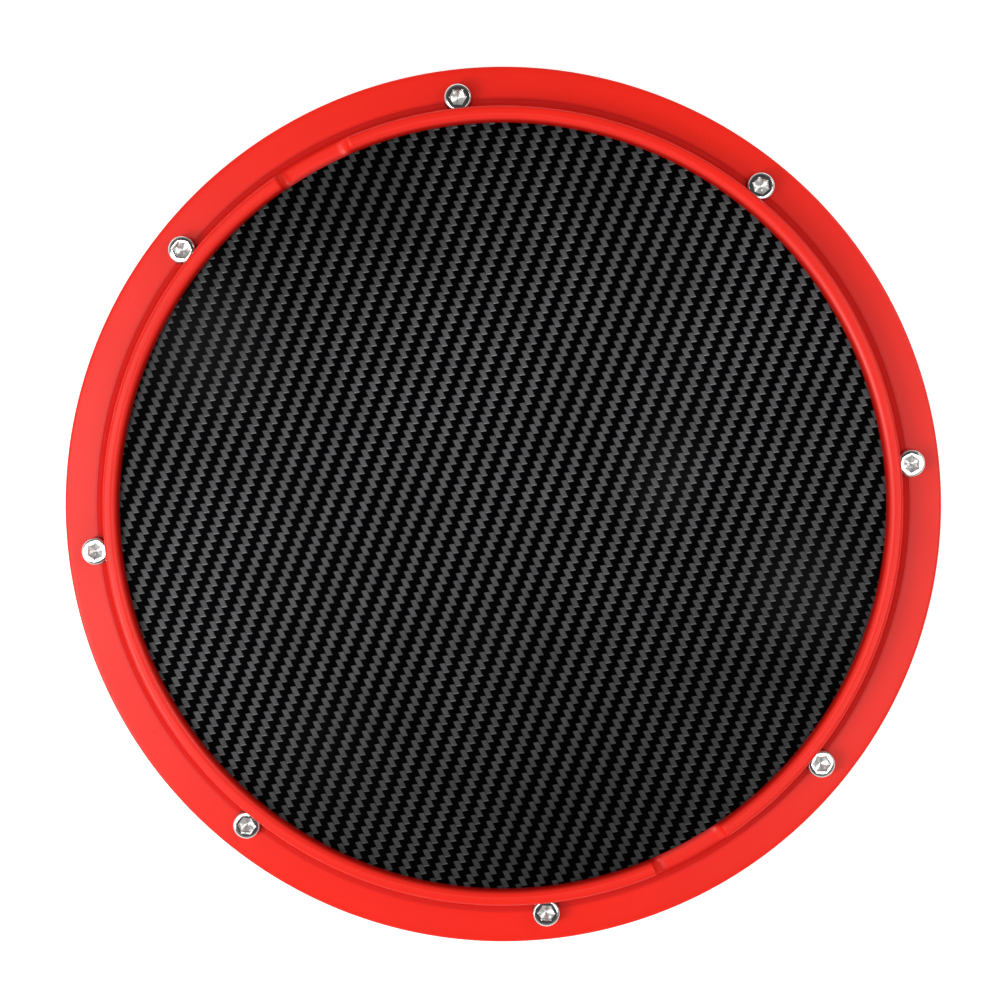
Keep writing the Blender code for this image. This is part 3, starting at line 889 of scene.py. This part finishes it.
def boardMesh():
    blank = turnedMesh("boardSolid", boardSection(), boardLook["steps"])
    solid = bpy.data.objects.new("boardSolid", blank)
    bpy.context.scene.collection.objects.link(solid)
    low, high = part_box(insertNames[0])
    radius = (high.x - low.x) / 2 + hoopLook["seatGap"]
    places = [screwCenter(name) for name in screwNames]
    holes = cutterAt("insertHoles", places, radius, low.z - cutOverrun, boardHigh.z + cutOverrun)
    return cutFrom(solid, [holes], sharpDeg=35)


addPiece("ply_board", boardMesh(), boardMaterial(), padBody, ["core_board"])
addPiece(
    "ribbed_mat", turnedMesh("ribbed_mat", matSection(), matLook["steps"]),
    matMaterial(), padBody, ["base_mat"],
)
print("layers, board and mat made")


# screws and inserts
screwLook = {
    "around": 120,
    "headRadius": 0.0050,
    "headHeight": 0.0060,
    "headChamfer": 0.0005,
    "acrossFlats": 0.0051,
    "socketDepth": 0.0031,
    "mouthChamfer": 0.00022,
    "pointDepth": 0.0011,
    "knurls": 40,
    "knurlDepth": 0.00009,
    "shankRadius": 0.0030,
    "tipChamfer": 0.0008,
    "cornerDeg": (12.0, 31.3, 25.3, 55.3, 25.3, 28.3, 32.3, 59.3),  # where each socket came to rest
    "steel": (0.74, 0.735, 0.72),
    "steelDull": (0.60, 0.585, 0.56),
    "dullEdge": (0.45, 0.75),
    "steelGrain": {"Size": 0.0012, "Drift": 0.004},
    "steelMarks": {"Spacing": 0.0022, "Amount": 1.0},
    "steelRoughness": (0.08, 0.06),
    "rubRoughness": 0.15,
    "sunkRoughness": 0.22,  # added below the head's face, as forged
    "steelBump": (0.04, 0.00002),
    "zinc": (0.62, 0.60, 0.55),
    "zincYellow": (0.50, 0.47, 0.38),
    "zincGrain": {"Size": 0.0008, "Drift": 0.003},
    "zincRoughness": (0.26, 0.2),
    "zincBump": (0.3, 0.00008),
}


def hexRadius(angles, acrossFlats):
    sector = np.mod(angles, math.pi / 3) - math.pi / 6
    return acrossFlats / 2 / np.cos(sector)


def screwPoints(cornerTurn, low, headUnder, headTop):  # rings from the socket's middle down to the tip
    look = screwLook
    angles = np.linspace(0.0, math.tau, look["around"], endpoint=False)
    head, chamfer = look["headRadius"], look["headChamfer"]
    flats, mouth = look["acrossFlats"], look["mouthChamfer"]
    knurl = look["knurlDepth"] * np.abs(np.sin(angles * look["knurls"] / 2))
    circle = np.ones_like(angles)
    hexagon = hexRadius(angles, flats)
    floor = headTop - look["socketDepth"]
    socket = [
        (circle * 0.0002, floor - look["pointDepth"]),
        (circle * flats / 2 * 0.55, floor - look["pointDepth"] * 0.45),
        (circle * flats / 2 * 0.995, floor),
        (hexagon * 0.998, floor + 0.00002),
        (hexagon, floor + 0.0001),
        (hexagon, headTop - look["socketDepth"] * 0.5),
        (hexagon, headTop - mouth * 1.3),
        (hexagon + mouth * 0.3, headTop - mouth * 0.6),
        (hexagon + mouth, headTop - mouth * 0.1),
        (np.maximum(hexagon + mouth * 1.3, flats / 2 * 1.25), headTop),
    ]
    edge = [
        (circle * (head - chamfer * 1.25), headTop),
        (circle * (head - chamfer), headTop - chamfer * 0.08),
        (circle * (head - chamfer * 0.5), headTop - chamfer * 0.45),
        (circle * (head - chamfer * 0.1), headTop - chamfer * 0.95),
        (circle * head, headTop - chamfer * 1.3),
    ]
    wall = [
        (circle * head - knurl, headTop - chamfer * 1.9),
        (circle * head - knurl, headUnder + 0.0006),
        (circle * head, headUnder + 0.0004),
        (circle * head, headUnder + 0.0001),
        (circle * (head - 0.0001), headUnder),
    ]
    shank = [
        (circle * (look["shankRadius"] + 0.0002), headUnder),
        (circle * look["shankRadius"], headUnder - 0.0002),
        (circle * look["shankRadius"], low + look["tipChamfer"]),
        (circle * (look["shankRadius"] - look["tipChamfer"]), low),
        (circle * 0.0002, low),
    ]
    rings = socket + edge + wall + shank
    points = np.empty((len(rings), len(angles), 3))
    for row, (radius, height) in enumerate(rings):
        points[row, :, 0] = radius * np.cos(angles + cornerTurn)
        points[row, :, 1] = radius * np.sin(angles + cornerTurn)
        points[row, :, 2] = height
    return points


def steelMaterial():
    look = screwLook
    material, tree, shader, place = newMaterial("polishedSteel", Metallic=1.0, Roughness=0.14)
    grain = placeGroup(tree, fineGrain, {"Place": place, **look["steelGrain"]})
    marks = placeGroup(tree, handling, {"Place": place, **look["steelMarks"]})
    dull = smoothStep(tree, grain["Patch"], *look["dullEdge"])
    color = mixColor(tree, dull, shade(look["steel"]), shade(look["steelDull"]))
    tree.links.new(color, shader.inputs["Base Color"])
    rough = scatter(tree, grain["Grain"], *look["steelRoughness"])
    rough = scatter(tree, marks["Rubs"], rough, look["rubRoughness"])
    height = addNode(tree, "ShaderNodeSeparateXYZ", {"Vector": place}).outputs["Z"]
    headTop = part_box(screwNames[0])[1].z
    chamfer = look["headChamfer"]
    sunk = minus(tree, 1.0, smoothStep(tree, height, headTop - chamfer * 3, headTop - chamfer))
    rough = scatter(tree, sunk, rough, look["sunkRoughness"])
    tree.links.new(rough, shader.inputs["Roughness"])
    addBump(tree, shader, grain["Grain"], *look["steelBump"])
    return material


def zincMaterial():
    look = screwLook
    material, tree, shader, place = newMaterial("zincPlate", Metallic=1.0, Roughness=0.35)
    grain = placeGroup(tree, fineGrain, {"Place": place, **look["zincGrain"]})
    color = mixColor(tree, grain["Patch"], shade(look["zinc"]), shade(look["zincYellow"]))
    tree.links.new(color, shader.inputs["Base Color"])
    tree.links.new(scatter(tree, grain["Grain"], *look["zincRoughness"]), shader.inputs["Roughness"])
    addBump(tree, shader, grain["Grain"], *look["zincBump"])
    return material


steel = steelMaterial()
for name, cornerDeg in zip(screwNames, screwLook["cornerDeg"]):
    low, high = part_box(name)
    points = screwPoints(math.radians(cornerDeg), low.z, high.z - screwLook["headHeight"], high.z)
    points[:, :, :2] += screwCenter(name)
    mesh = gridMesh("cap_" + name, points, wrapColumns=True, caps=True, sharpDeg=28)
    addPiece("cap_" + name, mesh, steel, name, [name])  # a screw's body has its name
zinc = zincMaterial()
for name in insertNames:
    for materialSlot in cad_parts[name].material_slots:
        materialSlot.material = zinc
print("screws made:", len(screwNames))


# stage
stageLook = {
    "cameraHeight": 1.03,  # above the flange
    "cameraRight": 0.012,
    "cameraUp": 0.044,
    "upDeg": 61.3,  # direction on the pad that is up in the view
    "aimRight": -0.00055,
    "aimUp": 0.00220,
    "lens": 99.90,
    "floorColor": (0.90, 0.90, 0.90),
    "floorGlow": 0.62,
    "floorSize": 6.0,
    "floorGap": 0.0002,
    "lamps": {  # places in the view's right and up, and height: a lamp with a turn lies level
        "leftPanel": {"place": (-0.542, -0.137, 1.22), "size": (0.80, 0.38), "power": 4.5, "turnDeg": 24.5},
        "rightPanel": {"place": (0.529, -0.050, 1.22), "size": (0.80, 0.37), "power": 3.0, "turnDeg": 24.5},
        "keyPanel": {"place": (-0.84, -0.40, 1.0), "size": (0.22, 0.50), "power": 5.6},
        "fillPanel": {"place": (0.80, 0.45, 1.0), "size": (0.35, 0.35), "power": 2.3},
    },
    "zenith": 0.05,
    "zenithEdge": (0.66, 0.97),  # heights between which the walls fade into the dark zenith
    "walls": 0.66,
    "wallTop": 0.6,
    "horizon": 0.34,  # brightness of the room at each height
    "sideBias": 0.60,
    "biasDeg": 225.0,  # where the room is brightest, in the view
}


def viewDirections():
    up = math.radians(stageLook["upDeg"])
    viewUp = Vector((math.cos(up), math.sin(up), 0.0))
    return Vector((viewUp.y, -viewUp.x, 0.0)), viewUp


def buildFloor():
    mesh = bpy.data.meshes.new("floor")
    shape = bmesh.new()
    bmesh.ops.create_grid(shape, x_segments=1, y_segments=1, size=stageLook["floorSize"])
    shape.to_mesh(mesh)
    shape.free()
    floor = bpy.data.objects.new("floor", mesh)
    bpy.context.scene.collection.objects.link(floor)
    floor.location.z = boxAtStart[0][2] - stageLook["floorGap"]
    material = newMaterial(
        "paleFloor", Roughness=0.8, Base_Color=stageLook["floorColor"],
        Emission_Color=stageLook["floorColor"], Emission_Strength=stageLook["floorGlow"],
    )[0]
    mesh.materials.append(material)


def buildLamps():
    viewRight, viewUp = viewDirections()
    for name, look in stageLook["lamps"].items():
        light = bpy.data.lights.new(name, "AREA")
        light.shape = "RECTANGLE"
        light.size, light.size_y = look["size"]
        light.energy = look["power"]
        lamp = bpy.data.objects.new(name, light)
        bpy.context.scene.collection.objects.link(lamp)
        right, up, height = look["place"]
        lamp.location = viewRight * right + viewUp * up + Vector((0, 0, height))
        if "turnDeg" in look:
            lamp.rotation_euler.z = math.radians(stageLook["upDeg"] - 90 + look["turnDeg"])
        else:
            lamp.rotation_euler = lamp.location.to_track_quat("Z", "Y").to_euler()


def buildRoom():  # soft light from all round, brightest at the walls on one side
    look = stageLook
    world = bpy.data.worlds.new("studio")
    bpy.context.scene.world = world
    world.use_nodes = True
    tree = world.node_tree
    direction = addNode(tree, "ShaderNodeTexCoord").outputs["Generated"]
    height = addNode(tree, "ShaderNodeSeparateXYZ", {"Vector": direction}).outputs["Z"]
    walls = addNode(tree, "ShaderNodeMapRange", {
        "Value": height,
        "From Max": look["wallTop"],
        "To Min": look["horizon"],
        "To Max": look["walls"],
    }).outputs[0]
    strength = addNode(tree, "ShaderNodeMapRange", {
        "Value": height,
        "From Min": look["zenithEdge"][0],
        "From Max": look["zenithEdge"][1],
        "To Min": walls,
        "To Max": look["zenith"],
    }).outputs[0]
    toward = math.radians(look["biasDeg"] + look["upDeg"] - 90)
    leanInputs = {0: direction, 1: (math.cos(toward), math.sin(toward), 0.0)}
    lean = addNode(tree, "ShaderNodeVectorMath", leanInputs, operation="DOT_PRODUCT").outputs["Value"]
    background = tree.nodes["Background"]
    background.inputs["Color"].default_value = shade((1.0, 1.0, 1.0))
    bias = scatter(tree, lean, 1.0, look["sideBias"])
    tree.links.new(times(tree, strength, bias), background.inputs["Strength"])


def buildCamera():
    viewRight, viewUp = viewDirections()
    data = bpy.data.cameras.new("camera")
    data.lens = stageLook["lens"]
    data.sensor_width = 36.0
    data.clip_end = 20.0
    camera = bpy.data.objects.new("camera", data)
    bpy.context.scene.collection.objects.link(camera)
    middle = Vector((0.0, 0.0, flangeTop))
    eye = middle + viewRight * stageLook["cameraRight"] + viewUp * stageLook["cameraUp"]
    eye.z += stageLook["cameraHeight"]
    target = middle + viewRight * stageLook["aimRight"] + viewUp * stageLook["aimUp"]
    back = (eye - target).normalized()
    side = viewUp.cross(back).normalized()
    top = back.cross(side)
    turn = Matrix((side, top, back)).transposed()
    camera.matrix_world = Matrix.Translation(eye) @ turn.to_4x4()
    bpy.context.scene.camera = camera


buildFloor()
buildLamps()
buildRoom()
buildCamera()
bpy.context.scene.view_settings.view_transform = "Standard"
print("stage made")
